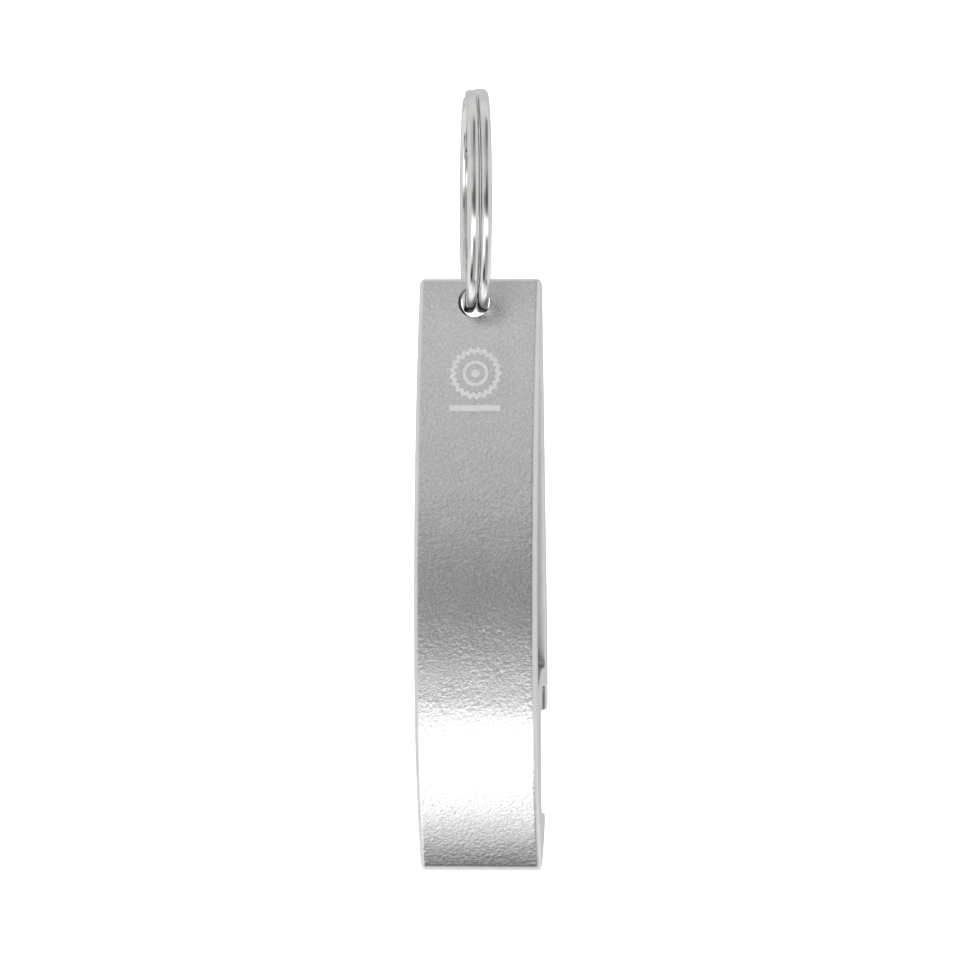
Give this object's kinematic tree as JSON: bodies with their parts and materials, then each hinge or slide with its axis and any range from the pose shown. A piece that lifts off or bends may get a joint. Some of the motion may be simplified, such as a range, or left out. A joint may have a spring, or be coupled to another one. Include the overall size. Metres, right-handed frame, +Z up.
{
  "type": "keychain bottle opener",
  "caption": "Extruded aluminium bottle opener with a bowed front, an open window, a hooked mouth for crown caps and a ring hole, hanging from a split key ring.",
  "frame": {"origin": "inside top of the split ring, where a hook or key cord holds the hanging object", "axes": "+Z up along the opener, -Y the way the bowed front face looks, +X along the extrusion, to the right as seen from the front"},
  "size_m": [0.0125, 0.023, 0.0802],
  "materials": {
    "anodised_aluminium": "fine blasted and clear anodised, satin, with smooth tumbled edges",
    "plated_steel": "bright nickel plate on spring steel wire"
  },
  "bodies": {
    "ring": {"split_ring": "plated_steel"},
    "opener": {"opener_body": "anodised_aluminium"}
  },
  "joints": [
    {"name": "opener_swing", "type": "hinge", "parent": "ring", "child": "opener", "pos_m": [0, 0, -0.02005], "axis": [0, 1, 0], "range_deg": [-140, 140]}
  ]
}
